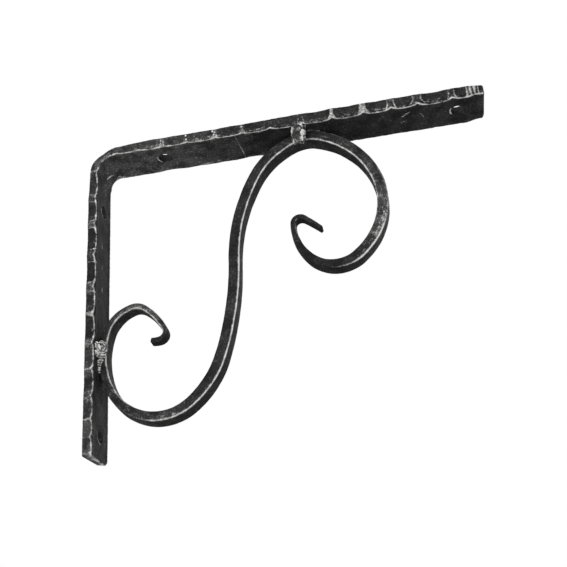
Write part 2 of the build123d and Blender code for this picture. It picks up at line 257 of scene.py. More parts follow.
blackIron = {
    "name": "blackIron", "dark": (0.0045, 0.0045, 0.0048, 1), "light": (0.017, 0.017, 0.0175, 1),
    # the haze and dust colours: pale dust, also laid on as painted light in the bores, on the scroll's front face and
    # on the welds
    "haze": (0.076, 0.076, 0.075, 1), "dust": (0.3, 0.3, 0.298, 1), "silver": (0.80, 0.80, 0.79, 1),
    "roughness": (0.6, 0.8), "silverRoughness": 0.45, "silverMetal": 0.35, "silverHeight": 0.3, "specular": 0.02,
    "grain": 1.0, "worn": 0.5, "bump": 0.4, "bumpDistance": 0.00022,
}
scrollIron = dict(blackIron, name="scrollIron", dark=(0.0055, 0.0055, 0.0058, 1), light=(0.017, 0.017, 0.0174, 1),
                  grain=1.25, bump=0.3, worn=0.52)
weldIron = dict(blackIron, name="weldIron", dark=(0.004, 0.004, 0.0043, 1), light=(0.02, 0.02, 0.0205, 1),
                grain=1.6, bump=0.55, roughness=(0.4, 0.6))


def mask(tree, name):
    return node(tree, "ShaderNodeAttribute", {"attribute_name": name}).outputs["Fac"]


def mixColours(tree, share, under, over):
    return node(tree, "ShaderNodeMix", {"data_type": "RGBA"}, i0=share, i6=under, i7=over).outputs[2]


def makeIron(look):  # black iron with silver rubbed over its high spots
    material = bpy.data.materials.new(look["name"])
    material.use_nodes = True
    tree = material.node_tree
    tree.nodes.clear()
    scale = node(tree, "ShaderNodeGroup", {"node_tree": forgeScale}, Grain=look["grain"])
    flow = node(tree, "ShaderNodeAttribute", {"attribute_name": "flow"}).outputs["Vector"]
    rub = node(tree, "ShaderNodeGroup", {"node_tree": silverRub}, Flow=flow, Edge=mask(tree, "edgeRub"),
               Brushed=mask(tree, "brushRub"), Worn=look["worn"])
    silver = rub.outputs["Silver"]
    # the dust mask holds real dust, and also painted light in the bores, on the scroll's front face and on the welds
    dust = node(tree, "ShaderNodeGroup", {"node_tree": ironDust}, Flow=flow, Amount=mask(tree, "dustAndPaintedLight"))
    iron = mixColours(tree, ramp(tree, scale.outputs["Tone"], 0.3, 0.75), look["dark"], look["light"])
    hazed = mixColours(tree, dust.outputs["Haze"], iron, look["haze"])
    dusted = mixColours(tree, dust.outputs["Dust"], hazed, look["dust"])
    colour = mixColours(tree, silver, dusted, look["silver"])
    rough = ramp(tree, scale.outputs["Tone"], 0.3, 0.7, *look["roughness"])
    rough = node(tree, "ShaderNodeMix", {"data_type": "FLOAT"}, i0=silver, i2=rough,
                 i3=look["silverRoughness"]).outputs[0]
    metal = maths(tree, "MULTIPLY", silver, look["silverMetal"])
    height = maths(tree, "ADD", scale.outputs["Height"], maths(tree, "MULTIPLY", silver, look["silverHeight"]))
    bump = node(tree, "ShaderNodeBump", Height=height, Strength=look["bump"], Distance=look["bumpDistance"])
    shader = node(tree, "ShaderNodeBsdfPrincipled", Base_Color=colour, Roughness=rough, Metallic=metal,
                  Specular_IOR_Level=look["specular"], Normal=bump.outputs["Normal"])
    sent = node(tree, "ShaderNodeOutputMaterial")
    tree.links.new(shader.outputs["BSDF"], sent.inputs["Surface"])
    return material


ironFinish = makeIron(blackIron)
scrollFinish = makeIron(scrollIron)
weldFinish = makeIron(weldIron)
print("finishes made")


# the bent bar with hammered edges

bar = {
    "armLength": 225.0, "legLength": 184.0, "width": 25.0, "thickness": 5.0, "bendRadius": 9.0, "bendMargin": 1.5,
    # each hole: its place along z or x, and the dust inside it, raised to paint light onto the shaded bore wall
    "holeRadius": 3.75, "wallHoles": ((67.0, 0.45), (-67.0, 0.95)), "shelfHoles": ((41.5, 0.45), (210.0, 0.45)),
    # the blows from the bend outwards, by length, and the dish that each one leaves
    "armBlows": (13.5, 14.0, 14.0, 16.5, 15.5, 16.0, 17.5, 17.5, 17.5, 15.5, 14.5, 19.0, 12.5, 5.0),
    "legBlows": (18.0, 17.0, 20.0, 19.5, 16.5, 17.0, 14.5, 15.0, 12.5, 9.5, 9.5),
    "blowRadius": 46.0, "blowOverlap": 0.8, "unevenBlows": 0.15, "dishWave": 0.05,
    "legArris": 0.95, "armArris": 0.5, "arrisFade": 12.0,
    # each lip: its height where two blows meet, and at the middle of a blow
    "legOuterLip": (0.08, 0.15), "legInnerLip": (0.1, 0.35),
    "outerLipNear": (0.0, 0.75), "outerLipFar": (1.2, 2.0), "innerLipNear": (0.7, 1.2), "innerLipFar": (0.3, 1.2),
    "lipGrowth": (75.0, 135.0), "lipFade": 9.0, "lipReach": 4.5, "outerCrest": 3.0, "innerCrest": 1.8,
    "usualBlow": 7.5, "longestBlow": 1.3, "bendLipShare": 0.6, "bendInnerLip": 1.8,
    # the slanting blows on the front inner arris
    "scoopRadius": (55.0, 21.0), "scoopGap": 1.0, "scoopRise": 0.3,
    # distance past the start of the bend, and how far the outer face was knocked in there
    "bendFlats": ((-18, 0), (-6, 0.3), (1.5, 0.9), (5, 1.0), (13.5, 2.4), (21, 1.0), (30, 0.35), (42, 0)),
    # the two ends: the cuts, how far back they reach, and the rings that round them off (shrink, distance in)
    "footSlant": 2.9, "footCorner": 5.6, "frontCorner": 1.5, "backCorner": 5.0, "endTaper": 1.8, "taperReach": 11.0,
    "cutReach": 14.0, "endRings": ((0.62, 0.0), (0.28, 0.08), (0.08, 0.3)),
    # waves in the wide faces (size, height), and a groove under the arm (from x, y to x, y)
    "waves": ((16.0, 0.16), (5.0, 0.05)), "groove": (46, 3.0, 66, 4.2), "grooveWidth": 0.9, "grooveDepth": 0.3,
    "step": 0.5, "facePoints": 34, "faceCrowding": 1.45, "edgePoints": 11, "arrisPoints": 4,
    "drillSides": 72, "drillLength": 30.0,
    # the silver band between two dishes of the front edge, from the bend outwards: half its length, how much wider
    # it gets at the inner arris, the strength of its two rims and of what lies between them
    "legBands": (
        (0.5, 0.2, 0.55, 0.5), (2.3, 0.3, 0.68, 0.25), (2.2, 0.2, 0.72, 0.3), (4.0, 0.2, 0.76, 0.22),
        (2.8, 0.7, 0.74, 0.28), (1.0, 1.5, 0.62, 0.5), (2.5, 0.3, 0.4, 0.34), (0.3, 1.4, 0.6, 0.62),
        (2.7, 0.2, 0.5, 0.3), (0.2, 0.8, 0.6, 0.6), (0.2, 0.2, 0.5, 0.45), (1.6, 0.2, 0.5, 0.45)),
    "armBands": (
        (1.4, 0.3, 0.45, 0.25), (1.1, 0.1, 0.5, 0.1), (0.7, 0.2, 0.8, 0.2), (0.3, 0.0, 0.1, 0.1),
        (0.6, 0.3, 0.75, 0.4), (0.6, 0.9, 0.6, 0.4), (3.2, 0.0, 0.46, 0.2), (1.3, 0.6, 0.62, 0.2),
        (0.5, 1.6, 0.85, 0.6), (1.5, 1.9, 0.8, 0.56), (1.7, 1.0, 0.92, 0.25), (2.2, 3.2, 0.88, 0.22),
        (1.5, 1.0, 0.8, 0.25), (4.0, 0.3, 0.76, 0.5), (0.8, 0.0, 0.5, 0.4)),
    # strength of the other silver; a pair is front and back edge, or near and far end of the arm
    "facetRub": 0.4, "arrisRub": (1.0, 0.5), "outerRub": (0.14, 0.7), "spillRub": (0.74, 0.38), "frayRub": 0.34,
    # the two crease strengths below are painted highlights along folds of the inner face, laid on as silver
    "edgeBrush": 0.12, "footBrush": 0.3, "footLine": 0.8, "endBrush": 0.35, "bendBrush": 0.22, "creaseHighlight": 1.1,
    "legCreaseHighlight": 0.42, "streakPitch": 2.1, "streakReach": 16.0,
    # small bright knocks on the arm's front edge: x, and depth below the shelf
    "knocks": ((57.0, 1.2), (57.2, 3.9), (72.6, 0.9), (73.9, 2.2), (73.2, 3.6), (89.4, 1.2)),
    # scratches under the arm: from x, y to x, y, and strength
    "scratches": (
        (84.8, -9.4, 86.9, 11.4, 0.5), (179.0, -2.0, 183.6, -5.4, 0.6), (189.7, -2.4, 191.1, 0.5, 0.55),
        (177.9, 3.5, 181.5, 1.9, 0.45), (125.9, -3.5, 132.5, -1.9, 0.95), (168.0, -6.5, 170.0, -2.5, 0.4),
        (199.0, -7.0, 201.5, -5.5, 0.4)),
    # a faint seam down the leg: from z, y to z, y
    "seam": (48.9, -2.1, 9.4, -0.3), "seamRub": 0.62, "scratchWidth": 0.5,
    "rimRub": (0.45, 1.05),  # painted highlight on one side of each wall hole's rim, and of each shelf hole's rim
}
shelfZ = 103.0
footZ = shelfZ - bar["legLength"]
bendX = bar["bendRadius"] + bar["thickness"]
bendZ = shelfZ - bendX
legRun = bendZ - footZ
bendRun = (bar["bendRadius"] + bar["thickness"] / 2) * math.pi / 2
armRun = bar["armLength"] - bendX
wholeRun = legRun + bendRun + armRun
legTop = legRun - bar["bendMargin"]
armStart = legRun + bendRun + bar["bendMargin"]
halfWidth = bar["width"] / 2
holes = [(z, True, dust) for z, dust in bar["wallHoles"]] + [(x, False, dust) for x, dust in bar["shelfHoles"]]


def ridgeRuns(reverse=False):  # distances along the bar, foot to arm end
    order = -1 if reverse else 1
    legBlows = np.array(bar["legBlows"][::order])
    armBlows = np.array(bar["armBlows"][::order])
    leg = legTop * (1 - np.cumsum(legBlows) / legBlows.sum())
    arm = armStart + (wholeRun - armStart) * np.cumsum(armBlows) / armBlows.sum()
    return np.concatenate([leg[::-1], [legTop, armStart], arm])


frontRidges, backRidges = ridgeRuns(), ridgeRuns(True)


def blowAt(run, ridges):  # place in its dish from -1 to 1, half length, which blow
    index = np.clip(np.searchsorted(ridges, run, side="right") - 1, 0, len(ridges) - 2)
    first, second = ridges[index], ridges[index + 1]
    half = (second - first) / 2
    return (run - (first + second) / 2) / half, half, index


def dishDepth(run, ridges):
    across, half, index = blowAt(run, ridges)
    chord = half + bar["blowOverlap"] / 2
    depth = (chord ** 2 - (across * half) ** 2) / (2 * bar["blowRadius"])
    return depth * (1 + bar["unevenBlows"] * np.sin(index * 2.7)) + bar["dishWave"] * roughly(run * 0.9, 2)


def growth(run):  # how far the arm's lips have grown
    x = run - legRun - bendRun + bendX
    low, high = bar["lipGrowth"]
    return np.clip(np.minimum((x - low) / (high - low), (bar["armLength"] - x) / bar["lipFade"]), 0, 1)


def lipHeight(run, ridges, which):  # which is outer or inner
    across, half, _ = blowAt(run, ridges)
    grown = growth(run)
    legLip = bar["legOuterLip"] if which == "outer" else bar["legInnerLip"]
    onArm = smoothStep(legTop, armStart, run)
    near, far = bar[which + "LipNear"], bar[which + "LipFar"]
    low, crest = (legLip[k] + (near[k] + (far[k] - near[k]) * grown - legLip[k]) * onArm for k in (0, 1))
    share = np.minimum(bar["longestBlow"], (half / bar["usualBlow"]) ** 2)
    inBend = (run > legTop) & (run < armStart)
    share = np.where(inBend, bar["bendLipShare"], share)
    lip = low + (crest - low) * share * (1 - across ** 2)
    if which == "inner":
        lip = lip + np.where(inBend, bar["bendInnerLip"] * (1 - across ** 2), 0)
    return lip


def scoopDepth(run):  # bite of the slanting blows into the front inner arris
    across, half, _ = blowAt(run, frontRidges)
    radius = bar["scoopRadius"][0] + (bar["scoopRadius"][1] - bar["scoopRadius"][0]) * growth(run)
    reach = np.maximum(half - bar["scoopGap"] / 2, 0)
    bite = (reach ** 2 - (across * half) ** 2) / (2 * radius)
    below = frontRidges[np.searchsorted(frontRidges, legTop) - 1]
    beyond = frontRidges[np.searchsorted(frontRidges, armStart) + 1]
    return np.where((run > below) & (run < beyond), 0.0, np.maximum(bite, 0))


def placeOnBar(run, depth, y):  # depth below the outer face
    angle = np.clip((run - legRun) / bendRun, 0.0, 1.0) * math.pi / 2
    reach = bendX - depth
    x = bendX - reach * np.cos(angle) + np.maximum(run - legRun - bendRun, 0)
    z = bendZ + reach * np.sin(angle) + np.minimum(run - legRun, 0)
    return np.stack([x, y + 0 * x, z], -1)


def findOnBar(points):  # the way back: run, depth and y
    x, y, z = points.T
    inBend = (x < bendX) & (z > bendZ)
    onArm = x >= bendX
    angle = np.arctan2(z - bendZ, bendX - x)
    straight = np.where(onArm, legRun + bendRun + x - bendX, z - footZ)
    run = np.where(inBend, legRun + bendRun * angle / (math.pi / 2), straight)
    depth = np.where(inBend, bendX - np.hypot(bendX - x, z - bendZ), np.where(onArm, shelfZ - z, x))
    return run, depth, y


def flattening(run):  # metal lost outside the bend, in flats with kinks between
    past, lost = np.array(bar["bendFlats"]).T
    return np.interp(run - legTop, past, lost)


def softMin(first, second):
    return first * second / ((first ** 4 + second ** 4) ** 0.25 + 1e-9)


def lipRise(y, lip, which):  # how far a lip stands up at this y
    side = np.clip((np.abs(y) - halfWidth + bar["lipReach"]) / bar["lipReach"], 0, 1)
    return softMin(bar[which + "Crest"] * side ** 2 + 1e-6, lip)


def outerFace(rise, flat):  # its depth: lips lie down where the bend was knocked flat
    return flat - rise * (1 - 0.8 * np.clip(flat, 0, 1))


def outerArris(run, ridges):
    edgeY = halfWidth - dishDepth(run, ridges)
    return outerFace(lipRise(edgeY, lipHeight(run, ridges, "outer"), "outer"), flattening(run))


def innerArris(run, ridges):
    edgeY = halfWidth - dishDepth(run, ridges)
    return bar["thickness"] + lipRise(edgeY, lipHeight(run, ridges, "inner"), "inner")


def faceRow(count):  # places across a wide face, closer near its arrises
    t = np.linspace(-1, 1, count)
    return np.sign(t) * (1 - (1 - np.abs(t)) ** bar["faceCrowding"])


def roughLip(runs, ridges, which, seed):
    jag = 1 + 0.12 * roughly(runs * 1.1, seed + 5)
    return np.maximum(lipHeight(runs, ridges, which) * jag + 0.05 * roughly(runs * 2.1, seed), 0.02)[:, None]


def scooped(runs, y, depth):  # the slanting blows bite into the front inner arris
    thick = bar["thickness"]
    bite = scoopDepth(runs)[:, None] + 0 * y
    past = ((depth - (thick + bar["scoopRise"])) + (np.abs(y) - halfWidth)) / math.sqrt(2) + bite
    past = np.where((y < 0) & (depth > thick / 2) & (bite > 0), np.maximum(past, 0), 0)
    return y + past / math.sqrt(2), depth - past / math.sqrt(2)


def barPoints():  # the section all along the bar: run, y and depth
    thick = bar["thickness"]
    runs = np.linspace(0, wholeRun, int(wholeRun / bar["step"]))
    toArm = smoothStep(legTop - bar["arrisFade"], armStart, runs)
    arris = (bar["legArris"] + (bar["armArris"] - bar["legArris"]) * toArm)[:, None]
    wide, narrow = faceRow(bar["facePoints"]), np.linspace(-1, 1, bar["edgePoints"])
    corner = np.linspace(0, math.pi / 2, bar["arrisPoints"] + 2)[1:-1]
    taper = bar["endTaper"] * smoothStep(wholeRun - bar["taperReach"], wholeRun, runs)
    frontY = (-(halfWidth - dishDepth(runs, frontRidges)))[:, None]
    backY = (halfWidth - dishDepth(runs, backRidges) - taper)[:, None]
    flat = flattening(runs)[:, None]
    yWide = frontY + arris + (backY - frontY - 2 * arris) * (wide + 1) / 2

    def lipsOn(which, seed):  # the two lips of a wide face
        front, back = (roughLip(runs, ridges, which, seed) for ridges in (frontRidges, backRidges))
        return lipRise(yWide, np.where(yWide < 0, front, back), which)

    outDepth, inDepth = outerFace(lipsOn("outer", 1), flat), thick + lipsOn("inner", 2)

    def edgeRow(atFront):  # the hammered narrow edge, between its two arrises
        column = 0 if atFront else -1
        top, bottom = outDepth[:, [column]] + arris, inDepth[:, [column]] - arris
        depth = top + (bottom - top) * (narrow + 1) / 2
        return (frontY if atFront else backY) + 0 * depth, depth

    def cornerRow(atFront, outer):  # a round on each arris
        column = 0 if atFront else -1
        face = (outDepth if outer else inDepth)[:, [column]]
        centreDepth = face + (arris if outer else -arris)
        centreY = frontY + arris if atFront else backY - arris
        up = (-1 if outer else 1) * arris * np.sin(corner)
        out = (-1 if atFront else 1) * arris * np.cos(corner)
        return centreY + out, centreDepth + up

    def turned(row):
        return [pair[:, ::-1] for pair in row]

    rows = [edgeRow(True), cornerRow(True, False), (yWide, inDepth), turned(cornerRow(False, False)),
            turned(edgeRow(False)), cornerRow(False, True), turned((yWide, outDepth)), turned(cornerRow(True, True))]
    y, depth = (np.concatenate([row[k] for row in rows], 1) for k in (0, 1))
    return runs, *scooped(runs, y, depth)


def roundedEnd(y, back, front):  # how far the end is cut back at each y
    frontCut = np.clip(-y - (halfWidth - front), 0, front)
    backCut = np.clip(y - (halfWidth - back), 0, back)
    return (front - np.sqrt(front ** 2 - frontCut ** 2)) + (back - np.sqrt(back ** 2 - backCut ** 2))


def footCutAt(y, depth):  # the slanting cut at the foot
    deep = np.clip(depth / bar["thickness"], 0, 1)
    slant = bar["footSlant"] * (y + halfWidth) / bar["width"] * (1 - 0.6 * deep)
    return slant + roundedEnd(y, bar["footCorner"] * (0.55 + 0.45 * deep), bar["frontCorner"])


def endRings(y, depth, atFoot):  # a small round at an end: run, y and depth
    middle = bar["thickness"] / 2
    rings = bar["endRings"] if atFoot else bar["endRings"][::-1]
    return (np.array([np.full(len(y), inward if atFoot else wholeRun - inward) for _, inward in rings]),
            np.array([y * (1 - shrink / halfWidth) for shrink, _ in rings]),
            np.array([depth + (middle - depth) * shrink / middle for shrink, _ in rings]))


def capStrips(first, around):  # an end closed by strips from face to face
    middle = bar["edgePoints"] // 2
    strips = []
    for k in range(around // 2):
        strip = [(middle + j) % around for j in (k, k + 1, -k - 1, -k)]
        strips.append(tuple(first + j for j in dict.fromkeys(strip)))
    return strips


def makeBar():
    runs, y, depth = barPoints()
    around = y.shape[1]
    body = np.repeat(runs[:, None], around, 1), y, depth
    foot, end = endRings(y[1], depth[1], True), endRings(y[-2], depth[-2], False)
    run, y, depth = (np.concatenate([foot[k], body[k][1:-1], end[k]]) for k in range(3))
    footCut, endCut = footCutAt(y, depth), roundedEnd(y, bar["backCorner"], bar["frontCorner"])
    reach = bar["cutReach"]
    run = run + footCut * np.clip(1 - run / reach, 0, 1) - endCut * np.clip(1 - (wholeRun - run) / reach, 0, 1)
    loops = len(run)
    run, y, depth = run.ravel(), y.ravel(), depth.ravel()
    points = placeOnBar(run, depth, y)
    wave = sum(lumps(points, size, seed) * height for seed, (size, height) in enumerate(bar["waves"], 1))
    groove = strokeOn(run, y, *underArm(*bar["groove"]), bar["grooveWidth"]) * bar["grooveDepth"]
    onFace = smoothStep(0, 2.0, halfWidth - np.abs(y))
    points = placeOnBar(run, depth + (wave - groove) * onFace, y)
    faces = loftFaces(loops, around)
    faces += [strip[::-1] for strip in capStrips(0, around)] + capStrips((loops - 1) * around, around)
    mesh = meshFrom("hammeredBar", points, faces, ironFinish)
    piece = addPiece("hammeredBar", mesh, "frame_bar")
    drills = []
    for place, onWall, _ in holes:
        bpy.ops.mesh.primitive_cylinder_add(
            vertices=bar["drillSides"], radius=bar["holeRadius"] * mm, depth=bar["drillLength"] * mm,
            location=[v * mm for v in ((0, 0, place) if onWall else (place, 0, shelfZ))],
            rotation=(0, math.pi / 2 if onWall else 0, 0))
        drills.append(bpy.context.object)
        cut = piece.modifiers.new("hole", "BOOLEAN")
        cut.object = drills[-1]
        cut.solver = "EXACT"
    mesh = bakeModifiers(piece)
    for drill in drills:
        bpy.data.objects.remove(drill)
    rubBar(mesh, writePoints(mesh, readPoints(mesh)))
    return piece


def underArm(x, y, endX, endY):  # a stroke on the arm's underside, as runs
    return x - bendX + legRun + bendRun, y, endX - bendX + legRun + bendRun, endY


def strokeOn(run, y, startRun, startY, endRun, endY, width):
    alongRun, alongY = endRun - startRun, endY - startY
    t = np.clip(((run - startRun) * alongRun + (y - startY) * alongY) / (alongRun ** 2 + alongY ** 2), 0, 1)
    return np.exp(-((run - startRun - t * alongRun) ** 2 + (y - startY - t * alongY) ** 2) / width ** 2)


def fading(away, width):  # 1 on a line, falling off to its sides
    return np.exp(-(away / width) ** 2)


def legShare(run):  # 1 on the leg, 0 from the bend onwards
    return 1 - smoothStep(legTop - 4, legTop + 4, run)


def innerShare(depth):  # 1 on the inner face, 0 on the outer half
    return smoothStep(2.6, 4.0, depth)


def rubEdge(run, depth, y, atFront):  # edge and brushed silver along one hammered edge
    ridges = frontRidges if atFront else backRidges
    thick, side = bar["thickness"], 0 if atFront else 1
    along, _, index = blowAt(run, ridges)
    grown, onLeg = growth(run), legShare(run)
    onBend = smoothStep(legTop - 2, legTop + 2, run) * smoothStep(armStart + 2, armStart - 2, run)
    wobble = roughly(run * 0.75, 2 if atFront else 4)
    edgeY = halfWidth - dishDepth(run, ridges)
    outer, inner = outerArris(run, ridges), innerArris(run, ridges)
    bite = scoopDepth(run) * math.sqrt(2) if atFront else 0 * run
    fromRidge = np.minimum(run - ridges[index], ridges[index + 1] - run)
    # the arris: a line where the edge meets the inner face, or the whole facet where it was scooped off
    startDepth = np.minimum(inner, thick + bar["scoopRise"] + halfWidth - edgeY - bite)
    startDepth = startDepth - onLeg * (0.35 + 0.85 * np.abs(along) ** 2.4 + 0.12 * wobble)
    startDepth = startDepth + 0.2 * roughly(run * 1.2, 12) * (1 - onLeg)
    startDepth = startDepth - onBend * (0.05 + 0.25 * roughly(run * 0.8, 9))
    endY = np.where(onLeg > 0.5, edgeY, np.minimum(edgeY, halfWidth + thick + bar["scoopRise"] - inner - bite))
    endDepth = np.where(onLeg > 0.5, startDepth, inner)
    fromDepth, fromY = depth - startDepth, np.abs(y) - edgeY
    spanDepth, spanY = endDepth - startDepth, endY - edgeY
    t = np.clip((fromDepth * spanDepth + fromY * spanY) / (spanDepth ** 2 + spanY ** 2 + 1e-6), 0, 1)
    away = np.hypot(fromDepth - t * spanDepth, fromY - t * spanY)
    low = 0.8 * (1 - onLeg)  # the rub sits on the facet's lower border
    toLine = np.hypot(fromDepth - low * spanDepth, fromY - low * spanY)
    strength = (0.86 + 0.2 * wobble) * (1 - 0.25 * onLeg * (1 - onBend) + 0.15 * onBend) * bar["arrisRub"][side]
    arrisRub = fading(toLine, 0.56 + 0.1 * wobble + 0.1 * grown) * strength
    facetRub = bar["facetRub"] * fading(away, 0.6) * (1 - onLeg)
    outerRub = fading(np.hypot(depth - outer, np.abs(y) - edgeY), 0.5) * bar["outerRub"][side]
    # the bands between the dishes
    bands = np.array(bar["legBands"][::-1] + bar["armBands"])
    nearest = np.where(along < 0, index, index + 1)
    half, flare, rim, fill = bands[nearest if atFront else len(ridges) - 1 - nearest].T
    across = np.clip((depth - (inner + outer) / 2) / ((inner - outer) / 2), -1, 1)
    toRim = fromRidge - (half + flare * np.maximum(across, 0) ** 1.6 + 0.25 * np.abs(across) + 0.22 * wobble)
    onEdge = smoothStep(0.95, 0.3, edgeY - np.abs(y)) * (depth < startDepth + 0.6)
    rimRub = fading(toRim, 0.5) * rim * (0.72 + 0.28 * across)
    streaks = 0.5 + 0.5 * np.cos(fromRidge * 2 * math.pi / bar["streakPitch"] + 0.6 * across)
    streaks = np.where(run > wholeRun - bar["streakReach"], 0.4 + 0.9 * streaks, 1.0)
    bandRub = onEdge * np.maximum(rimRub, smoothStep(0.3, -0.3, toRim) * fill * streaks)
    # what was dragged past the arris onto the inner face, and over the edge of the bend
    near, far = bar["spillRub"]
    patchy = (0.5 + 0.5 * roughly(run * 0.21, 6)) * (1 - 0.6 * onLeg)
    spill = (near + (far - near) * grown) * fading(np.maximum(away - 0.5, 0), 2.0) * innerShare(depth) * patchy
    fray = onBend * onEdge * bar["frayRub"] * smoothStep(0.0, 1.0, across + 0.7)
    edge = np.maximum.reduce([arrisRub, outerRub, bandRub])
    return edge, np.maximum.reduce([spill, onEdge * bar["edgeBrush"], fray, facetRub])


def rubEnds(run, depth, y):  # edge and brushed silver on the foot and the arm's end
    fromFoot = run - footCutAt(y, depth)
    line = fading(fromFoot, 0.7) * smoothStep(3.2, 4.4, depth) * (0.75 + 0.3 * roughly(y * 0.6, 15))
    brushed = np.maximum(bar["footBrush"] * smoothStep(1.6, 0.4, fromFoot),
                         bar["endBrush"] * smoothStep(1.5, 0.2, wholeRun - run))
    return bar["footLine"] * line, brushed


def rubBend(run, depth, y, armX):  # a painted highlight along a crease across its inside and along the top of the leg, and its brushed front
    crease = fading(y - 2.8 - 0.35 * (armX + 2), 0.65) * fading(run - legRun - 7.5, 4.2)
    onLegTop = smoothStep(legRun - 20, legRun - 8, run) * smoothStep(legRun + 1, legRun - 2, run)
    crease = np.maximum(crease, bar["legCreaseHighlight"] * fading(y - 2.6, 0.6) * onLegTop)
    front = fading(run - legRun - bendRun / 2 - 6, 12) * smoothStep(7.0, 1.0, halfWidth + y)
    return bar["creaseHighlight"] * crease * innerShare(depth), bar["bendBrush"] * front


def rubMarks(run, depth, y, armX):  # knocks on the front edge, scratches and the leg's seam
    marks = np.zeros(len(run))
    for x, below in bar["knocks"]:
        marks = np.maximum(marks, fading(armX - x, 0.55) * fading(depth - below, 0.8) * (y < -10))
    width = bar["scratchWidth"]
    scratches = np.zeros(len(run))
    for *stroke, strength in bar["scratches"]:
        scratches = np.maximum(scratches, strength * strokeOn(run, y, *underArm(*stroke), width))
    top, topY, bottom, bottomY = bar["seam"]
    seam = bar["seamRub"] * strokeOn(run, y, top - footZ, topY, bottom - footZ, bottomY, width)
    seam = seam * (0.55 + 0.45 * roughly(run * 0.5, 4)) * legShare(run)
    onFace = innerShare(depth) * (halfWidth - np.abs(y) > 1.2)
    return np.maximum(marks, (scratches + seam) * onFace)


def dustBar(run, y):  # most on the arm beside the bend, and low on the leg
    onLeg = legShare(run)
    byBend = fading(run - legRun - bendRun - 12, 34)
    wide = 0.28 + 1.05 * byBend + 0.12 * smoothStep(0.6, 0.0, growth(run)) * (1 - onLeg)
    wide = wide * (1 - 0.35 * onLeg) + 0.2 * smoothStep(55, 30, run)
    narrow = 0.27 + 0.405 * byBend + 0.9 * onLeg * (0.2 + 0.35 * smoothStep(100, 40, run))
    return np.where(smoothStep(1.0, 0.3, halfWidth - np.abs(y)) > 0.5, narrow, wide)


def rubHoles(points, edge, dustAndHoleLight):  # painted highlight on one side of each rim; dust, painted light and lines inside
    x, y, z = points.T
    for place, onWall, dust in holes:
        away = np.hypot(y, (z if onWall else x) - place)
        # a painted highlight on one side of the rim
        rimHighlight = fading(away - bar["holeRadius"] - 0.2, 0.5) * bar["rimRub"][0 if onWall else 1]
        side = (y + z - place < -2) if onWall else (x - place + 0.6 * np.abs(y - 1) < -1.3)
        inside = away < bar["holeRadius"] + 0.1
        lines = 0.3 + 0.25 * np.cos((x + z) * 2.6)
        edge = np.where(inside & side & (not onWall), lines, np.maximum(edge, rimHighlight * side))
        # inside a bore the dust amount is raised to lighten its shaded wall: painted light
        dustAndHoleLight = np.where(inside, dust, dustAndHoleLight)
    return edge, dustAndHoleLight


def rubBar(mesh, points):  # silver on arrises, ridges and the odd patch
    run, depth, y = findOnBar(points)
    armX = run - legRun - bendRun + bendX
    frontRub, backRub = rubEdge(run, depth, y, True), rubEdge(run, depth, y, False)
    edge, brushed = (np.where(y < 0, frontRub[k], np.where(y > 0, backRub[k], 0)) for k in (0, 1))
    for moreEdge, moreBrushed in (rubEnds(run, depth, y), rubBend(run, depth, y, armX)):
        edge, brushed = np.maximum(edge, moreEdge), np.maximum(brushed, moreBrushed)
    edge = np.maximum(edge, rubMarks(run, depth, y, armX))
    edge, dustAndHoleLight = rubHoles(points, edge, dustBar(run, y))
    writeMask(mesh, "edgeRub", edge)
    writeMask(mesh, "brushRub", brushed)
    writeMask(mesh, "dustAndPaintedLight", dustAndHoleLight)
    writeFlow(mesh, np.stack([run, depth, y], 1))


hammeredBar = makeBar()
print("hammered bar made:", len(hammeredBar.data.polygons), "faces")


# the S-scroll

